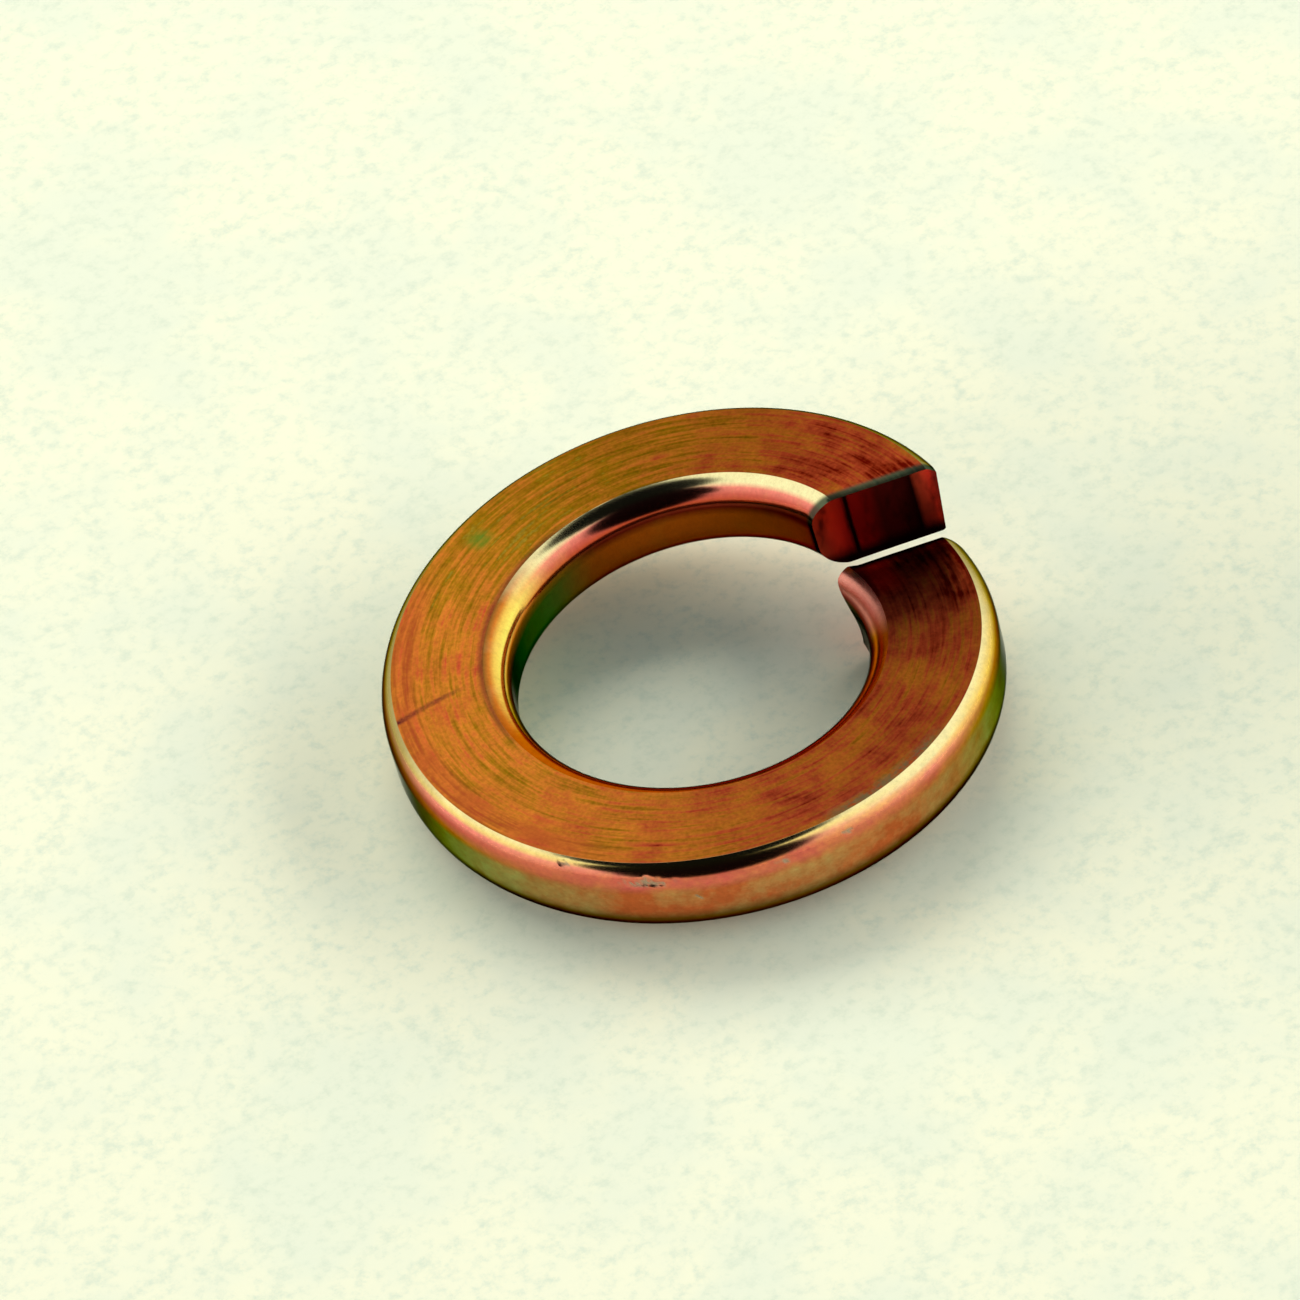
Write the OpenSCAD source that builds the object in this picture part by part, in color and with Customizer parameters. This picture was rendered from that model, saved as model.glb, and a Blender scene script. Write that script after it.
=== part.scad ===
// Split spring lock washer: one turn of flat wire, coiled left-handed so that it climbs
// clockwise seen from above, and sheared off with slanting cuts. It lies on the plane z = 0
// with +Z along its bore, and +X runs through the middle of the split.

/* [Ring] */
// Diameter of the bore, which clears an 8 mm screw
bore_d = 8.2; // [7.6:0.1:8.6]
// Diameter over the rim
outside_d = 14.3; // [13.6:0.1:15.6]
// Thickness of the wire, halfway between the bore and the rim
thickness = 1.95; // [1.7:0.05:2.3]
// How much thicker the coiled wire is along the bore than along the rim
section_taper = 0.05; // [0:0.01:0.12]
// Height that the coil climbs in a full turn
coil_rise = 2.2; // [2.2:0.05:3.4]

/* [Corners] */
// Reach of the bore's rounded corners across the flats
bore_corner_in = 0.54; // [0.3:0.01:0.7]
// Reach of the bore's rounded corners down the wall
bore_corner_down = 0.66; // [0.3:0.01:0.68]
// Reach of the rim's rounded corners across the flats
rim_corner_in = 0.33; // [0.2:0.01:0.6]
// Reach of the rim's rounded corners down the wall
rim_corner_down = 0.6; // [0.3:0.01:0.68]
// How far round each corner goes before the rolled flat cuts it off with a crease
crease_angle = 73; // [64:1:88]

/* [Ends] */
// Angle between the two ends, halfway up the wire
gap_angle = 5.2; // [4:0.1:20]
// Turn of both cuts from the line that runs out from the axis
cut_turn = 15.7; // [0:0.1:20]
// Lean of the lower end's cut, whose top edge stands out
low_end_lean = 32; // [0:1:36]
// Lean of the upper end's cut, whose bottom edge stands out
high_end_lean = 4; // [0:1:20]
// Depth of the flat that the shear's blade pressed on the rim beside the upper end
pressed_depth = 0.21; // [0.05:0.01:0.3]

/* [Hidden] */

bore_r = bore_d / 2;
rim_r = outside_d / 2;
mid_r = (bore_r + rim_r) / 2;
half_in = (thickness + section_taper / 2) / 2;
half_out = (thickness - section_taper / 2) / 2;

// Rings of points along the turn, and how many of them share the slant of each cut
turn_steps = 96;
slant_steps = 16;
// Each corner is an ellipse's arc, from this angle on; a straight run meets the wall below it
arc_start = 24;
arc_steps = 5;
// How far the straight run goes on past the wall, as a share of itself, to be trimmed there
overrun = 0.5;
// Room that the trimming cylinders have above, below and around the coil
spare = 1;
wall_fn = 180;
// The pressed flat is deepest this far past +X, and leans in by this angle towards its bottom
pressed_turn = 6;
pressed_lean = 4;

function along(a, b, share) = a + (b - a) * share;

// A corner's point [radius, height over the wire's middle] at an angle up from the wall. in_reach
// is positive from the bore outwards and negative from the rim inwards.
function corner_point(wall_r, half, in_reach, down, angle) =
    [wall_r + in_reach * (1 - cos(angle)) / (1 - cos(crease_angle)),
     half - down * (1 - sin(angle) / sin(crease_angle))];

// A corner from just past the wall up to the crease at the flat
function corner(wall_r, half, in_reach, down) =
    let (wall_point = corner_point(wall_r, half, in_reach, down, 0))
    let (first = corner_point(wall_r, half, in_reach, down, arc_start))
    concat(
        [along(wall_point, first, -overrun)],
        [for (i = [0:arc_steps])
            corner_point(wall_r, half, in_reach, down, along(arc_start, crease_angle, i / arc_steps))]);

function reversed(list) = [for (i = [len(list) - 1:-1:0]) list[i]];
function flipped(list) = [for (p = list) [p[0], -p[1]]];

// The wire's section, from the bore over the upper flat to the rim and back underneath
upper_half = concat(
    corner(bore_r, half_in, bore_corner_in, bore_corner_down),
    reversed(corner(rim_r, half_out, -rim_corner_in, rim_corner_down)));
section = concat(upper_half, reversed(flipped(upper_half)));
count = len(section);

// A point of the coil: travel is the angle run clockwise from +X, climbing all the way
function coil_point(r, h, travel) =
    [r * cos(travel), -r * sin(travel), coil_rise * travel / 360 + h];

// How far a point lies past a cut. The cut goes through the wire's middle at middle_travel,
// is turned by cut_turn from +X, and its top leans back against the climb.
function past_cut(p, middle_travel, lean) =
    let (q = p - coil_point(mid_r, 0, middle_travel))
    -q[0] * sin(cut_turn) - q[1] * cos(cut_turn) + q[2] * tan(lean);

// The travel at which the line [r, h] of the coil meets a cut, closed in on by repetition
function cut_travel(r, h, middle_travel, lean, travel, rounds = 16) =
    rounds == 0 ? travel :
    let (miss = past_cut(coil_point(r, h, travel), middle_travel, lean))
    cut_travel(r, h, middle_travel, lean, travel - miss / r * 180 / PI, rounds - 1);

low_middle = gap_angle / 2;
high_middle = 360 - gap_angle / 2;
low_ends = [for (p = section) cut_travel(p[0], p[1], low_middle, low_end_lean, low_middle)];
high_ends = [for (p = section) cut_travel(p[0], p[1], high_middle, high_end_lean, high_middle)];

// The lowest point of the coil, which is brought down to z = 0
lowest = min([for (j = [0:count - 1]) coil_point(section[j][0], section[j][1], low_ends[j])[2]]);
lift = -lowest;
coil_height = lift + coil_rise + thickness;

// Share of a cut's slant that ring i has, when it is i rings away from that cut
function slant_share(i) = max(0, 1 - i / slant_steps);

function ring(i) = [for (j = [0:count - 1])
    coil_point(section[j][0], section[j][1],
        along(low_middle, high_middle, i / turn_steps)
        + (low_ends[j] - low_middle) * slant_share(i)
        + (high_ends[j] - high_middle) * slant_share(turn_steps - i)) + [0, 0, lift]];

module coil() {
    points = [for (i = [0:turn_steps]) each ring(i)];
    sides = [for (i = [0:turn_steps - 1]) for (j = [0:count - 1])
        let (a = i * count + j)
        let (b = i * count + (j + 1) % count)
        each [[a, b, b + count], [a, b + count, a + count]]];
    low_face = [for (j = [count - 1:-1:0]) j];
    high_face = [for (j = [0:count - 1]) turn_steps * count + j];
    polyhedron(points, concat([low_face, high_face], sides), convexity = 6);
}

// A cylinder that the coil fits inside from top to bottom
module trimming_cylinder(r) {
    translate([0, 0, -spare]) cylinder(r = r, h = coil_height + 2 * spare, $fn = wall_fn);
}

// A block over the rim by the upper end, whose near face is the pressed flat
module pressing_block() {
    rotate([0, 0, -pressed_turn])
    translate([rim_r - pressed_depth, 0, lift + coil_rise])
    rotate([0, pressed_lean, 0])
    translate([0, -rim_r, -coil_rise / 2])
    cube([spare, 2 * rim_r, coil_rise]);
}

module spring_lock_washer() {
    color([0.72, 0.47, 0.16])
    difference() {
        intersection() {
            coil();
            trimming_cylinder(rim_r);
        }
        trimming_cylinder(bore_r);
        pressing_block();
    }
}

spring_lock_washer();
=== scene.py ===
from math import atan2, cos, degrees, hypot, pi, radians, sin, tan

import bmesh
import bpy
from mathutils import Matrix, Vector, noise


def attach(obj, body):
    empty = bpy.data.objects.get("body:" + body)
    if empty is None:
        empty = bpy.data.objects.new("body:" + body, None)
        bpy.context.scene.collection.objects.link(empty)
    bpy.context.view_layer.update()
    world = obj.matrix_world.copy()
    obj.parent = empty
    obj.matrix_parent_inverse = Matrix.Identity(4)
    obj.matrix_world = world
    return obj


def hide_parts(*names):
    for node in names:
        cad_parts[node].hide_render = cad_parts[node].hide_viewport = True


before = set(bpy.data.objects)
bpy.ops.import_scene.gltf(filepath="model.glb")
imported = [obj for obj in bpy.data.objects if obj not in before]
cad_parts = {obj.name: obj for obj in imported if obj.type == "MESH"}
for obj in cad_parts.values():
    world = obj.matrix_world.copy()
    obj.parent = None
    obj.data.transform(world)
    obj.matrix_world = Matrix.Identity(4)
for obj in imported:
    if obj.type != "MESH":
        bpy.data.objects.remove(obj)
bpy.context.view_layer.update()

# The photographer's camera: a long lens that looks down at the washer from above its front,
# rolled a little, so that the washer's axis leans to the left in the picture.
MM = 0.001
camera_azimuth = radians(-18.158)
camera_elevation = radians(42.559)
camera_roll = radians(-16.048)
camera_distance = 180.82 * MM
camera_aim = Vector((-0.602, 0.664, 2.518)) * MM

camera = bpy.data.objects.new("camera", bpy.data.cameras.new("camera"))
camera.data.sensor_width = 36
camera.data.lens = 217.476
camera.data.clip_start = 0.005
camera.data.clip_end = 10
camera.matrix_world = (
    Matrix.Translation(camera_aim)
    @ Matrix.Rotation(camera_azimuth, 4, "Z")
    @ Matrix.Rotation(radians(90) - camera_elevation, 4, "X")
    @ Matrix.Rotation(camera_roll, 4, "Z")
    @ Matrix.Translation((0, 0, camera_distance))
)
bpy.context.scene.collection.objects.link(camera)
bpy.context.scene.camera = camera

# The washer: one turn of flat spring-steel wire, coiled cold so that it climbs clockwise, and
# sheared off with slanting cuts. It is zinc plated and dipped in a yellow chromate, which dries
# to a thin film of drifting colours. Its flats keep the grain that the coiling rolls left.
bore_r = 4.1
rim_r = 7.15
mid_r = (bore_r + rim_r) / 2
thickness = 1.95
section_taper = 0.05
coil_rise = 2.2
half_in = (thickness + section_taper / 2) / 2
half_out = (thickness - section_taper / 2) / 2
bore_corner_in = 0.54
bore_corner_down = 0.66
rim_corner_in = 0.33
rim_corner_down = 0.60
crease_angle = radians(73)
gap_angle = 5.2
cut_turn = radians(15.7)
low_end_lean = radians(32)
high_end_lean = radians(4)
# Height of the wire's middle at +X, so that the coil's lowest point lies at zero
lift = 0.936

corner_segments = 16
shortest_flat = 1.2
shortest_wall = 0.5
flat_cuts = 22
wall_cuts = 9
spare_turn = 16
coil_sectors = 8
sector_steps = 90
seam_gap = 1e-4
touching = 1e-6


def stretch(mesh, factor):
    bmesh.ops.scale(mesh, vec=(1, 1, factor), verts=mesh.verts)


def round_corners(mesh, side, reach, down):
    """Rounds the section's two corners at the bore, side -1, or at the rim, side 1."""
    corners = [v for v in mesh.verts if (v.co.x - mid_r) * side > 0]
    stretch(mesh, reach / down)
    bmesh.ops.bevel(mesh, geom=corners, affect="VERTICES", offset=reach, offset_type="OFFSET",
                    segments=corner_segments, profile=0.5, material=-1)
    stretch(mesh, down / reach)


# The drawn wire is a little higher than the finished one. Its corners are full round, and the
# rolls then take its flats down, which leaves a crease where each flat cuts a round corner.
def full_corner(reach, down):
    """The full corner's reach and depth, and the height rolled off it, from those of its crease."""
    full_reach = reach / (1 - cos(crease_angle))
    full_down = down / sin(crease_angle)
    return full_reach, full_down, full_down - down


bore_full = full_corner(bore_corner_in, bore_corner_down)
rim_full = full_corner(rim_corner_in, rim_corner_down)
drawn_in = half_in + bore_full[2]
drawn_out = half_out + rim_full[2]
drawn_section = [(bore_r, -drawn_in), (rim_r, -drawn_out), (rim_r, drawn_out), (bore_r, drawn_in)]
flat_lean = (half_in - half_out) / (rim_r - bore_r)

coil = bmesh.new()
coil.faces.new([coil.verts.new((r, 0, h)) for r, h in drawn_section])
round_corners(coil, -1, bore_full[0], bore_full[1])
round_corners(coil, 1, rim_full[0], rim_full[1])
for side in (-1, 1):
    bmesh.ops.bisect_plane(coil, geom=coil.verts[:] + coil.edges[:] + coil.faces[:], dist=touching,
                           plane_co=(bore_r, 0, side * half_in), plane_no=(flat_lean, 0, side),
                           clear_outer=True)
bmesh.ops.delete(coil, geom=coil.faces[:], context="FACES_ONLY")
for shortest, longest, cuts in ((shortest_flat, rim_r, flat_cuts),
                                (shortest_wall, shortest_flat, wall_cuts)):
    straight = [e for e in coil.edges if shortest < e.calc_length() < longest]
    bmesh.ops.subdivide_edges(coil, edges=straight, cuts=cuts)

# The section is swept along the first sector of the coil, which starts before the lower cut, and
# the other sectors are turned and lifted copies of it, up to past the upper cut.
sector_turn = radians((360 + 2 * spare_turn) / coil_sectors)
sector_rise = coil_rise * sector_turn / (2 * pi)
bmesh.ops.rotate(coil, verts=coil.verts, matrix=Matrix.Rotation(radians(spare_turn), 3, "Z"))
bmesh.ops.translate(coil, verts=coil.verts, vec=(0, 0, lift - coil_rise * spare_turn / 360))
bmesh.ops.spin(coil, geom=coil.verts[:] + coil.edges[:], cent=(0, 0, 0), axis=(0, 0, -1),
               dvec=(0, 0, sector_rise / sector_steps), angle=sector_turn,
               steps=sector_steps, use_merge=False, use_normal_flip=False, use_duplicate=False)
sector = coil.verts[:] + coil.edges[:] + coil.faces[:]
for i in range(1, coil_sectors):
    copied = bmesh.ops.duplicate(coil, geom=sector)["geom"]
    moved = [v for v in copied if isinstance(v, bmesh.types.BMVert)]
    bmesh.ops.rotate(coil, verts=moved, matrix=Matrix.Rotation(-sector_turn * i, 3, "Z"))
    bmesh.ops.translate(coil, verts=moved, vec=(0, 0, sector_rise * i))
bmesh.ops.remove_doubles(coil, verts=coil.verts, dist=seam_gap)


def coil_place(point):
    """Travel in degrees, radius, and height over the wire's middle, of a point on the coil."""
    travel = degrees(atan2(-point.y, point.x))
    height = point.z - lift - coil_rise * travel / 360
    for turns in (-1, 1):
        other = height - coil_rise * turns
        if abs(other) < abs(height):
            height = other
            travel += 360 * turns
    return travel, hypot(point.x, point.y), height


def shear_plane(travel, lean):
    """A point of the cut, at the wire's middle, and the way that the cut faces along the wire."""
    middle = Vector((mid_r * cos(radians(travel)), -mid_r * sin(radians(travel)),
                     lift + coil_rise * travel / 360))
    return middle, Vector((-sin(cut_turn), -cos(cut_turn), tan(lean))).normalized()


def geometry_near(mesh, travel, reach):
    near = [v for v in mesh.verts if abs(coil_place(v.co)[0] - travel) < reach]
    chosen = set(near)
    geom = near + [e for e in mesh.edges if set(e.verts) <= chosen]
    return geom + [f for f in mesh.faces if set(f.verts) <= chosen]


def close_cut(mesh, cut):
    outline = [e for e in cut["geom_cut"] if isinstance(e, bmesh.types.BMEdge)]
    return bmesh.ops.contextual_create(mesh, geom=outline)["faces"]


cut_reach = 36
ring_depths = (0.26, 0.2, 0.15, 0.11, 0.075, 0.045, 0.02)


def cut_end(mesh, travel, plane, keep_above):
    """Shears the coil, with a few closer rings beside the cut, and closes the cut with one face."""
    middle, across = plane
    inward = across if keep_above else -across
    geom = geometry_near(mesh, travel, cut_reach)
    for depth in ring_depths:
        ring = bmesh.ops.bisect_plane(mesh, geom=geom, dist=touching, plane_no=across,
                                      plane_co=middle + inward * depth)
        geom = ring["geom"]
    cut = bmesh.ops.bisect_plane(mesh, geom=geom, dist=touching, plane_co=middle, plane_no=across,
                                 clear_inner=keep_above, clear_outer=not keep_above)
    return close_cut(mesh, cut)


low_travel = gap_angle / 2
high_travel = 360 - gap_angle / 2
low_plane = shear_plane(low_travel, low_end_lean)
high_plane = shear_plane(high_travel, high_end_lean)
low_face = cut_end(coil, low_travel, low_plane, True)
cut_end(coil, high_travel, high_plane, False)

# The shear's blade pressed the rim flat beside the upper end. This trims the upper end's face too,
# so that face is found again: only the faces that close a cut have so many sides.
pressed_depth = 0.21
pressed_turn = radians(6)
pressed_lean = radians(4)
pressed_reach = 20
many_sides = 60
pressed_foot = Vector((cos(pressed_turn), -sin(pressed_turn), 0))
pressed_point = pressed_foot * (rim_r - pressed_depth) + Vector((0, 0, lift + coil_rise))
pressed_out = pressed_foot * cos(pressed_lean) - Vector((0, 0, sin(pressed_lean)))
pressed = bmesh.ops.bisect_plane(coil, geom=geometry_near(coil, 360, pressed_reach), dist=touching,
                                 plane_co=pressed_point, plane_no=pressed_out, clear_outer=True)
pressed_face = close_cut(coil, pressed)
high_face = [f for f in coil.faces
             if len(f.verts) > many_sides and f not in low_face + pressed_face]

bmesh.ops.remove_doubles(coil, verts=coil.verts, dist=touching)
bmesh.ops.recalc_face_normals(coil, faces=coil.faces)
for face in coil.faces:
    face.smooth = True
    face.material_index = 0
for face in low_face + high_face + pressed_face:
    face.material_index = 0 if face in pressed_face else 1
    for edge in face.edges:
        edge.smooth = False

# Every vertex keeps its place along the wire, so that the film's colours can follow the wire.
place = coil.verts.layers.float_vector.new("coil")
for vert in coil.verts:
    vert[place] = coil_place(vert.co)
bore_crease = bore_r + bore_corner_in
rim_crease = rim_r - rim_corner_in
crease_gap = 0.004
crease_drop = 0.03


def on_crease(spot, radius):
    return abs(spot.y - radius) < crease_gap and abs(spot.z) > half_out - crease_drop


for edge in coil.edges:
    ends = [v[place] for v in edge.verts]
    if any(all(on_crease(spot, radius) for spot in ends) for radius in (bore_crease, rim_crease)):
        edge.smooth = False


def fade(value, low, high):
    """0 below low, 1 above high, with a soft step between."""
    share = min(max((value - low) / (high - low), 0), 1)
    return share * share * (3 - 2 * share)


# Wear and the marks of the shear: each cut's upper edge is rolled over, except at the low end's
# bore corner, which is drawn out to a sharp tip over a hollow. Small nicks lie on the rim.
roll_depth = 0.07
roll_reach = 0.26
roll_heights = (0.4, 0.9)
sharp_radii = (4.5, 4.9)
hollow_turn = 10.5
hollow_end = 24
hollow_foot = (-1.1, 0.1)
hollow_top = (0.15, 0.85)
hollow_radii = (4.15, 5.4)
end_reach = 40
out_of_reach = 9
ragged_along = 1.6
ragged_up = 14
nick_share = 0.8
nick_edge = 0.6
nick_down = 0.5
# Each nick's travel, height over the wire's middle, half length in degrees, half height and depth
nicks = (
    (126.6, 0.6, 5.5, 0.13, 0.04),
    (142.3, 0.84, 1.8, 0.05, 0.03),
    (88.8, 0.65, 1.1, 0.07, 0.03),
    (101.5, 0.58, 1.5, 0.05, 0.03),
    (156.8, 0.4, 0.8, 0.05, 0.02),
    (118, 0.1, 0.9, 0.07, 0.02),
)

# The film reads how far each vertex is from the upper and the lower cut, and how nicked it is.
marks = coil.verts.layers.float_vector.new("marks")
for vert in coil.verts:
    along, out, up = vert[place]
    from_low = out_of_reach
    if along < end_reach:
        from_low = (vert.co - low_plane[0]).dot(low_plane[1])
    from_high = out_of_reach
    if along > 360 - end_reach:
        from_high = (high_plane[0] - vert.co).dot(high_plane[1])
    rolled = max(1 - max(min(from_low, from_high), 0) / roll_reach, 0)
    if from_low < roll_reach:
        rolled *= fade(out, *sharp_radii)
    drop = roll_depth * rolled * rolled * fade(up, *roll_heights)
    nicked = 0
    for nick_along, nick_up, long, high, deep in nicks:
        if abs(along - nick_along) < 2 * long and out > mid_r:
            ragged = noise.noise(Vector((along * ragged_along, up * ragged_up, nick_up)))
            away = hypot((along - nick_along) / long, (up - nick_up) / high)
            bite = fade(nick_share - away + ragged, 0, nick_edge)
            nicked = max(nicked, bite)
            vert.co -= Vector((vert.co.x / out, vert.co.y / out, nick_down)) * deep * bite
    vert.co.z -= drop
    if along < hollow_end and out < hollow_radii[1]:
        hollow = fade(up, *hollow_foot) * (1 - fade(up, *hollow_top)) * (1 - fade(out, *hollow_radii))
        turned = hollow_turn * hollow * min((hollow_end - along) / hollow_end, 1)
        turn = Matrix.Rotation(radians(-turned), 3, "Z")
        vert.co = turn @ vert.co + Vector((0, 0, coil_rise * turned / 360))
    vert[marks] = (from_high, from_low, nicked)
bmesh.ops.scale(coil, vec=(MM, MM, MM), verts=coil.verts)
washer = bpy.data.objects.new("washer_coil", bpy.data.meshes.new("washer_coil"))
coil.to_mesh(washer.data)
coil.free()
bpy.context.scene.collection.objects.link(washer)


def tint(red, green, blue):
    """A colour given as it looks on a screen, 0 to 255, in the shader's own scale."""
    shares = [value / 255 for value in (red, green, blue)]
    return tuple(((s + 0.055) / 1.055) ** 2.4 if s > 0.04045 else s / 12.92 for s in shares) + (1,)


class Wire:
    """A socket of a material's nodes, which Python's operators join up with Math nodes."""

    def __init__(self, tree, socket=None):
        self.tree = tree
        self.socket = socket

    def node(self, kind, settings=(), out=0, **inputs):
        """A new node. Inputs go by name, with _ for a space, or as i0, i1 and so on by place."""
        made = self.tree.nodes.new(kind)
        for name, value in dict(settings).items():
            if name == "stops":
                ramp = made.color_ramp
                while len(ramp.elements) < len(value):
                    ramp.elements.new(0.5)
                for element, (at, colour) in zip(ramp.elements, value):
                    element.position = at
                    element.color = colour
            else:
                setattr(made, name, value)
        for name, value in inputs.items():
            key = int(name[1:]) if name[1:].isdigit() else name.replace("_", " ")
            if isinstance(value, Wire):
                self.tree.links.new(value.socket, made.inputs[key])
            else:
                made.inputs[key].default_value = value
        return Wire(self.tree, made.outputs[out] if made.outputs else None)

    def outputs(self):
        """Every output of the node that this wire comes from."""
        return {socket.name: Wire(self.tree, socket) for socket in self.socket.node.outputs}

    def split(self):
        """The three parts of a vector."""
        return list(self.node("ShaderNodeSeparateXYZ", i0=self).outputs().values())

    def math(self, operation, a, b=0.0):
        return self.node("ShaderNodeMath", {"operation": operation}, i0=a, i1=b)

    def __add__(self, other):
        return self.math("ADD", self, other)

    def __sub__(self, other):
        return self.math("SUBTRACT", self, other)

    def __rsub__(self, other):
        return self.math("SUBTRACT", other, self)

    def __mul__(self, other):
        return self.math("MULTIPLY", self, other)

    def __truediv__(self, other):
        return self.math("DIVIDE", self, other)

    def __abs__(self):
        return self.math("ABSOLUTE", self)

    __radd__ = __add__
    __rmul__ = __mul__

    def most(self, other):
        """The larger of the two values."""
        return self.math("MAXIMUM", self, other)

    def rise(self, low, high):
        """0 below low, 1 above high, with a soft step between."""
        return self.node("ShaderNodeMapRange", {"interpolation_type": "SMOOTHSTEP"},
                         i0=self, i1=low, i2=high, i3=0.0, i4=1.0)

    def band(self, low, high, soft):
        """1 between low and high and 0 outside them, with steps as wide as soft on either side."""
        return self.rise(low - soft, low + soft) * (1 - self.rise(high - soft, high + soft))

    def mix(self, under, over):
        """under where this wire is 0, over where it is 1."""
        return self.node("ShaderNodeMix", {"data_type": "RGBA"}, out=2, i0=self, i6=under, i7=over)

    def ramp(self, *stops):
        """The colour at this wire's value, from 0 to 1, between stops given as (value, colour)."""
        return self.node("ShaderNodeValToRGB", {"stops": stops}, i0=self)

    def course(self, *stops):
        """A value that runs through the stops, each given as (travel, value) round the turn."""
        return (self / 360).ramp(*[(at / 360, (v, v, v, 1)) for at, v in stops])

    def times(self, strength):
        """This wire's colour, made stronger or weaker."""
        grey = self.node("ShaderNodeCombineXYZ", i0=strength, i1=strength, i2=strength)
        return self.node("ShaderNodeVectorMath", {"operation": "MULTIPLY"}, i0=self, i1=grey)

    def speckle(self, x, y, z, detail=3.0, roughness=0.55):
        """Noise in 0 to 1, with x, y and z specks to the unit along this vector's three parts."""
        at = self.node("ShaderNodeVectorMath", {"operation": "MULTIPLY"}, i0=self, i1=(x, y, z))
        return self.node("ShaderNodeTexNoise", Vector=at, Scale=1.0, Detail=detail,
                         Roughness=roughness)


def new_material(name):
    material = bpy.data.materials.new(name)
    material.use_nodes = True
    material.node_tree.nodes.clear()
    return material, Wire(material.node_tree)


cream = tint(254, 242, 196)
straw = tint(252, 220, 140)
gold = tint(250, 206, 100)
lemon = tint(255, 236, 116)
peach = tint(250, 190, 150)
pink = tint(255, 164, 156)
rose = tint(246, 140, 132)
coral = tint(206, 96, 86)
copper = tint(210, 108, 60)
sienna = tint(210, 142, 66)
orange = tint(214, 126, 50)
umber = tint(186, 88, 14)
brick = tint(186, 76, 50)
wine = tint(104, 22, 10)
plum = tint(92, 34, 44)
amber = tint(190, 156, 56)
olive = tint(174, 128, 22)
moss = tint(188, 198, 122)
fern = tint(82, 138, 48)
teal = tint(70, 104, 84)
slate = tint(74, 92, 76)
pine = tint(34, 62, 54)
bark = tint(128, 88, 42)
drab = tint(104, 100, 72)
shaded_bronze = tint(142, 126, 72)
zinc = tint(160, 152, 132)
rust = tint(250, 88, 60)
scarlet = tint(255, 44, 34)
crimson = tint(255, 62, 48)
garnet = tint(150, 40, 34)
near_black = tint(44, 8, 8)
glancing_sheen = tint(98, 108, 86)

# Travel is in degrees, and radius, height and depth are in millimetres. wall_share runs from 0 at
# the upper flat to 1 just past the lower one.
film, graph = new_material("yellow_zinc_film")
coil_at = graph.node("ShaderNodeAttribute", {"attribute_name": "coil"}, out=1)
travel, radius, height = coil_at.split()
marks_at = graph.node("ShaderNodeAttribute", {"attribute_name": "marks"}, out=1)
from_high, from_low, nicked = marks_at.split()
depth = half_in - height
wall_share = depth / 2
on_flat = radius.band(bore_crease, rim_crease, 0.008)
outside = radius.rise(mid_r - 0.2, mid_r + 0.2)
clouds = coil_at.speckle(0.09, 0.9, 0.9, 4.0, 0.65) - 0.5
flecks = coil_at.speckle(0.35, 3.6, 3.6, 4.0, 0.75) - 0.5
pits = coil_at.speckle(1.1, 11.0, 11.0, 1.0) - 0.5
grain = coil_at.speckle(0.05, 9.0, 3.0, 2.0) - 0.5

# The flats: the film's hue drifts round the turn between brick red, orange and olive, and clouds,
# flecks and pits break it up. The rolls' grain runs with the turn.
# Near travel 0, by the gap, the hue runs to wine red, partly the film's colour and partly painted
# shade under the upper end.
hue = travel.course((0, 0.05), (18, 0.25), (48, 0.42), (62, 0.3), (76, 0.42), (96, 0.34),
                    (135, 0.56), (180, 0.6), (222, 0.54), (250, 0.8), (282, 0.74), (312, 0.5),
                    (345, 0.22), (360, 0.2))
hue = hue + clouds * 0.85 + flecks * 0.5 + grain
# Painted light and shade on the flats: this course makes them lighter on the left, where they catch
# the light, and darker on the right under the upper end and at the back.
painted_light_round_turn = travel.course((0, 0.6), (22, 0.42), (50, 0.52), (95, 0.62), (140, 0.8), (180, 0.97),
                     (225, 1.0), (255, 0.78), (285, 0.57), (318, 0.52), (340, 0.7), (360, 0.85))
flat_colour = hue.ramp((0.0, wine), (0.25, brick), (0.55, orange), (0.9, olive), (1.0, amber))
flat_colour = flat_colour.times(painted_light_round_turn * (1 - grain * 1.2 - flecks * 0.4 - pits * 0.6))

# Along the flats' edges: teal by the rim in front on the right, partly the film's colour and partly a
# painted sheen, a brick-red blush by the rim on the left, and a plum line beside the bore from the
# left to the back.
rim_teal_and_sheen = radius.rise(6.45, 6.75) * travel.band(62, 90, 5) * flecks.rise(-0.15, 0.1)
rim_blush = radius.band(6.3, 6.82, 0.14) * travel.band(138, 232, 10) * (0.5 + flecks * 1.5 + grain * 2)
bore_edge = (1 - radius.rise(4.68, 4.84)) * travel.band(178, 262, 8)
flat_colour = (rim_teal_and_sheen * 0.6).mix(flat_colour, teal)
flat_colour = (rim_blush * 0.9).mix(flat_colour, brick)
flat_colour = (bore_edge * 0.6).mix(flat_colour, plum)

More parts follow.
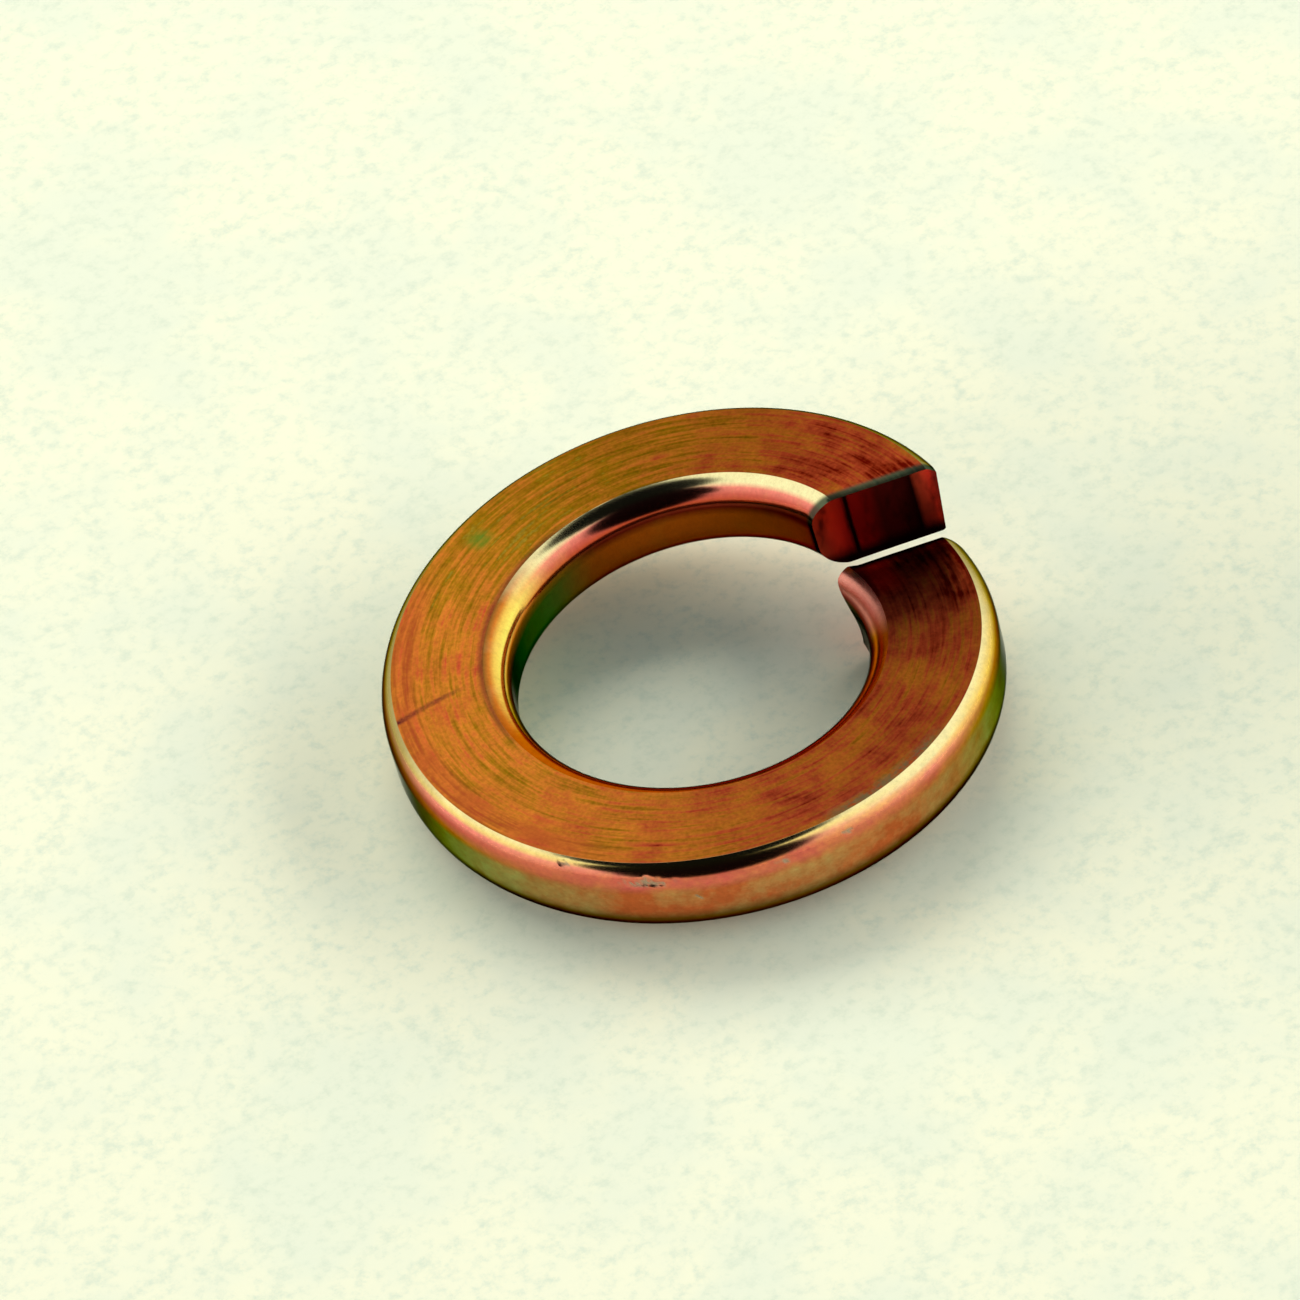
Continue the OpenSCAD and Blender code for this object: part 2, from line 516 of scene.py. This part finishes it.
# A scratch slants across the left of the flat, a small green patch lies at the back left, and by the
# lower cut the flat is painted near black as shade, with a red spot near the bore.
scratch_travel = 196.2
scratch_end_r = 6.87
scratch_slant = 2.96
scratch = abs(travel - scratch_travel - (scratch_end_r - radius) * scratch_slant)
scratch = (1 - scratch.rise(0.2, 1.2)) * radius.rise(4.7, 6.0)
flat_colour = (scratch * (flecks * 2 + 0.6)).mix(flat_colour, plum)
patch_travel = 248.8
patch = (1 - abs(travel - patch_travel).rise(0.6, 4.0)) * (flecks + 0.8)
flat_colour = (patch * radius.band(5.85, 6.4, 0.16) * 0.7).mix(flat_colour, fern)
# Painted shade: the flat beside the lower cut is darkened towards near black.
painted_shade_beside_cut = 1 - from_low.rise(0.06, 0.34)
flat_colour = painted_shade_beside_cut.mix(flat_colour, near_black)
red_spot = (1 - from_low.rise(0.5, 1.5)) * radius.band(4.75, 5.35, 0.2) * from_low.rise(0.1, 0.4)
flat_colour = (red_spot * 0.55).mix(flat_colour, scarlet)

# The rim's corner and wall: from cream at the crease through rose to copper in front, and through gold
# to moss at the sides, with bark brown at the lower corner. The cream is partly the film's colour and
# partly a painted highlight, and the bark brown is partly the film's colour and partly painted shade.
# The far side, which faces away from the camera, is painted a darker bronze as shade.
rim_right = wall_share.ramp((0.0, cream), (0.07, cream), (0.1, peach), (0.15, rose), (0.22, coral),
                            (0.34, copper), (0.62, copper), (0.75, bark), (1.0, bark))
rim_front = wall_share.ramp((0.0, cream), (0.04, straw), (0.08, rose), (0.14, coral), (0.26, coral),
                            (0.36, copper), (0.62, copper), (0.75, bark), (1.0, bark))
rim_front = travel.rise(64, 100).mix(rim_right, rim_front)
rim_side = wall_share.ramp((0.0, cream), (0.06, straw), (0.11, gold), (0.18, sienna), (0.27, amber),
                           (0.36, moss), (0.64, moss), (0.8, bark), (1.0, bark))
rim_left = wall_share.ramp((0.0, cream), (0.05, straw), (0.08, rose), (0.15, coral), (0.27, sienna),
                           (0.36, moss), (0.64, moss), (0.8, bark), (1.0, bark))
rim_side = travel.rise(100, 172).mix(rim_side, rim_left)
in_front = travel.course((0, 0.0), (42, 0.05), (66, 0.65), (85, 0.85), (128, 0.85), (150, 0.55),
                         (172, 0.1), (190, 0.0))
rim_colour = (in_front + clouds * 1.3 + flecks * 0.6).mix(rim_side, rim_front)
rim_colour = rim_colour.times(1 - flecks * 0.5 - pits * 0.3)
# Painted shade: the far side of the rim is darkened to bronze.
far_rim_shade = travel.course((0, 0.8), (12, 0.6), (28, 0.15), (40, 0.0), (172, 0.0), (190, 0.7),
                        (300, 1.0), (345, 0.9), (360, 0.8))
rim_colour = far_rim_shade.mix(rim_colour, shaded_bronze)

# The bore's corner and wall: gold over fern green on the left, cream and rose over umber at the back,
# a pink corner beside the low end, and a dull wall in front, which faces away. The lemon and gold band
# on the left, the cream at the back and the pink beside the low end are partly the film's colours and
# partly painted highlights, and the wall in front is painted darker as shade.
bore_left = wall_share.ramp((0.0, bark), (0.025, orange), (0.06, gold), (0.12, lemon), (0.17, gold),
                            (0.22, orange), (0.3, olive), (0.4, fern), (0.7, fern), (1.0, moss))
bore_back = wall_share.ramp((0.0, cream), (0.05, cream), (0.09, rose), (0.15, coral), (0.21, brick),
                            (0.3, wine), (0.42, umber), (0.7, umber), (1.0, bark))
bore_near = wall_share.ramp((0.0, pink), (0.14, pink), (0.19, coral), (0.23, drab), (1.0, drab))
# Painted shade: the bore in front, which faces away from the camera, is darkened to umber and drab.
shaded_bore_front = wall_share.ramp((0.0, umber), (0.08, orange), (0.18, bark), (0.4, drab), (1.0, bark))
at_back = (travel - depth.rise(0.3, 0.6) * 15).rise(228, 258)
bore_colour = (at_back + clouds * 0.4).mix(bore_left, bore_back)
by_low_end = travel.course((0, 1.0), (20, 1.0), (34, 0.0), (360, 0.0))
bore_colour = by_low_end.mix(bore_colour, bore_near)
# This mask lays the painted shade on the bore in front.
painted_shade_in_front = travel.course((0, 0.0), (14, 0.0), (28, 1.0), (176, 1.0), (190, 0.4), (204, 0.0))
bore_colour = painted_shade_in_front.mix(bore_colour, shaded_bore_front)
bore_colour = bore_colour.times(1 - flecks * 0.4 - pits * 0.3)

# The upper cut's rolled edge is a dark green, and the film is rubbed through in the nicks.
colour = on_flat.mix(outside.mix(bore_colour, rim_colour), flat_colour)
rolled_edge = 1 - from_high.rise(0.1, 0.24)
edge_colour = radius.band(5.0, 6.5, 0.3).mix(pine, slate)
colour = (rolled_edge * 0.9).mix(colour, edge_colour)
colour = (nicked * 0.8).mix(colour, zinc)

# The rolled flats are rougher than the round corners, and the corner by the lower tip is dull.
grain_depth = 0.02 * MM
roughness = 0.13 + on_flat * 0.22 + grain * on_flat * 0.12 + nicked * 0.2
roughness = roughness + by_low_end * (1 - outside) * (1 - on_flat) * 0.13
bump = graph.node("ShaderNodeBump", Strength=0.5, Distance=grain_depth,
                  Height=grain * on_flat + flecks * 0.12 + nicked * flecks)
shader = graph.node("ShaderNodeBsdfPrincipled", Base_Color=colour, Metallic=1.0,
                    Roughness=roughness, Specular_Tint=glancing_sheen, Normal=bump)
graph.node("ShaderNodeOutputMaterial", Surface=shader)

# The sheared faces: burnished by the blade, so that they shine darkly, with streaks of red film, and
# darker towards the bottom of each cut.
sheared, graph = new_material("sheared_ends")
shear_at = graph.node("ShaderNodeAttribute", {"attribute_name": "coil"}, out=1)
sheared_radius, sheared_height = shear_at.split()[1:]
streak = shear_at.speckle(0.6, 2.4, 1.2)
across_wire = (sheared_radius - bore_r) / (rim_r - bore_r)
shear_colour = across_wire.ramp((0.0, rust), (0.23, crimson), (0.262, near_black), (0.28, near_black),
                                (0.295, scarlet), (0.4, scarlet), (0.5, garnet), (0.62, garnet),
                                (0.76, near_black), (0.8, rust), (0.9, crimson), (0.93, garnet))
shear_colour = (streak.rise(0.46, 0.8) * 0.8).mix(shear_colour, near_black)
shear_colour = (1 - sheared_height.rise(-0.85, -0.45)).mix(shear_colour, near_black)
shader = graph.node("ShaderNodeBsdfPrincipled", Base_Color=shear_colour, Metallic=1.0,
                    Roughness=0.27)
graph.node("ShaderNodeOutputMaterial", Surface=shader)

washer.data.materials.append(film)
washer.data.materials.append(sheared)
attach(washer, "root")
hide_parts("spring_lock_washer")

# The sheet of pale paper that the washer was photographed on. The washer rests on its low cut
# edge and on two more points of its coil, so the sheet is tipped by six degrees under it.
paper_normal = Vector((0.0895, -0.0663, 0.9938)).normalized()
paper_offset = 0.454 * MM
paper_half = 0.6
cool_white = tint(238, 243, 232)
warm_white = tint(248, 248, 232)
fibre_shade = tint(224, 233, 222)
blotches_per_metre = 220.0
fibres_per_metre = 2600.0

sheet = bmesh.new()
bmesh.ops.create_grid(sheet, x_segments=1, y_segments=1, size=paper_half)
tip = Vector((0, 0, 1)).rotation_difference(paper_normal).to_matrix().to_4x4()
raise_sheet = Matrix.Translation(paper_normal * paper_offset)
bmesh.ops.transform(sheet, verts=sheet.verts, matrix=raise_sheet @ tip)
paper = bpy.data.objects.new("paper_sheet", bpy.data.meshes.new("paper_sheet"))
sheet.to_mesh(paper.data)
sheet.free()
bpy.context.scene.collection.objects.link(paper)

# Seen from below, the paper is clear, so that it hides nothing of the washer.
paper_finish, graph = new_material("pale_paper")
paper_at = graph.node("ShaderNodeTexCoord", out=3)
blotch = paper_at.speckle(blotches_per_metre, blotches_per_metre, blotches_per_metre, 4.0)
fibre = paper_at.speckle(fibres_per_metre, fibres_per_metre, fibres_per_metre, 4.0, 0.7)
paper_colour = blotch.rise(0.35, 0.62).mix(cool_white, warm_white)
paper_colour = fibre.rise(0.22, 0.56).mix(fibre_shade, paper_colour)
matt = graph.node("ShaderNodeBsdfPrincipled", Base_Color=paper_colour, Roughness=1.0,
                  Specular_IOR_Level=0.0)
back_side = graph.node("ShaderNodeNewGeometry", out=6)
clear = graph.node("ShaderNodeBsdfTransparent")
shader = graph.node("ShaderNodeMixShader", i0=back_side, i1=matt, i2=clear)
graph.node("ShaderNodeOutputMaterial", Surface=shader)
paper.data.materials.append(paper_finish)

# The studio's lamps: a wide soft box on either side and one behind, which light the paper and
# draw the washer's shadows. Glossy rays don't see them.
lamp_distance = 0.6
lamp_colour = (1, 0.96, 0.79)


def soft_box(name, azimuth, elevation, wide, high, radiance):
    """azimuth runs from +Y towards +X; both it and the spans wide and high are in degrees."""
    lamp = bpy.data.objects.new(name, bpy.data.lights.new(name, "AREA"))
    lamp.data.shape = "RECTANGLE"
    lamp.data.size = 2 * lamp_distance * tan(radians(wide) / 2)
    lamp.data.size_y = 2 * lamp_distance * tan(radians(high) / 2)
    lamp.data.energy = radiance * pi * lamp.data.size * lamp.data.size_y
    lamp.data.color = lamp_colour
    lamp.visible_camera = False
    lamp.visible_glossy = False
    lamp.matrix_world = (
        Matrix.Rotation(radians(-azimuth), 4, "Z")
        @ Matrix.Rotation(radians(elevation - 90), 4, "X")
        @ Matrix.Translation((0, 0, lamp_distance))
    )
    bpy.context.scene.collection.objects.link(lamp)


soft_box("right_soft_box", 102, 17, 86, 22, 6.3)
soft_box("left_soft_box", -68, 14, 70, 18, 17.4)
soft_box("back_soft_box", 10, 44, 56, 28, 4.3)

# The room: a dim bluish fill for the paper, and a pale backdrop for the eye and for gloss. On the
# camera's side the room is dark to gloss, which the round corners show as two black bands.
room_colour = (0.38, 0.84, 1, 1)
room_strength = 0.12
pale_wall = tint(241, 241, 217)
gloss_strength = 1.14
gloss_in_dark = 0.005

world = bpy.data.worlds.new("room")
bpy.context.scene.world = world
world.use_nodes = True
world.node_tree.nodes.clear()
graph = Wire(world.node_tree)
direction = graph.node("ShaderNodeTexCoord")


def dark_wall(towards, edge_in, edge_out):
    """1 within a cone round a direction, whose soft edge lies between two angles in degrees."""
    facing = graph.node("ShaderNodeVectorMath", {"operation": "DOT_PRODUCT"}, out=1, i0=direction,
                        i1=Vector(towards).normalized())
    return facing.rise(cos(radians(edge_out)), cos(radians(edge_in)))


dark_low = dark_wall((-0.364, -0.749, 0.552), 27, 36)
dark_side = dark_wall((-0.545, -0.462, 0.700), 16, 22)
dark_high = dark_wall((-0.112, -0.149, 0.982), 22, 28)
dark = dark_low.most(dark_side).most(dark_high)
ray = graph.node("ShaderNodeLightPath").outputs()
gloss_change = gloss_strength - 1 - dark * (gloss_strength - gloss_in_dark)
room = graph.node("ShaderNodeBackground", Color=room_colour, Strength=room_strength)
backdrop = graph.node("ShaderNodeBackground", Color=pale_wall,
                      Strength=1 + ray["Is Glossy Ray"] * gloss_change)
sees_backdrop = ray["Is Camera Ray"] + ray["Is Glossy Ray"] + ray["Is Transmission Ray"]
view = graph.node("ShaderNodeMixShader", i0=sees_backdrop, i1=room, i2=backdrop)
graph.node("ShaderNodeOutputWorld", Surface=view)

bpy.context.scene.view_settings.view_transform = "Standard"
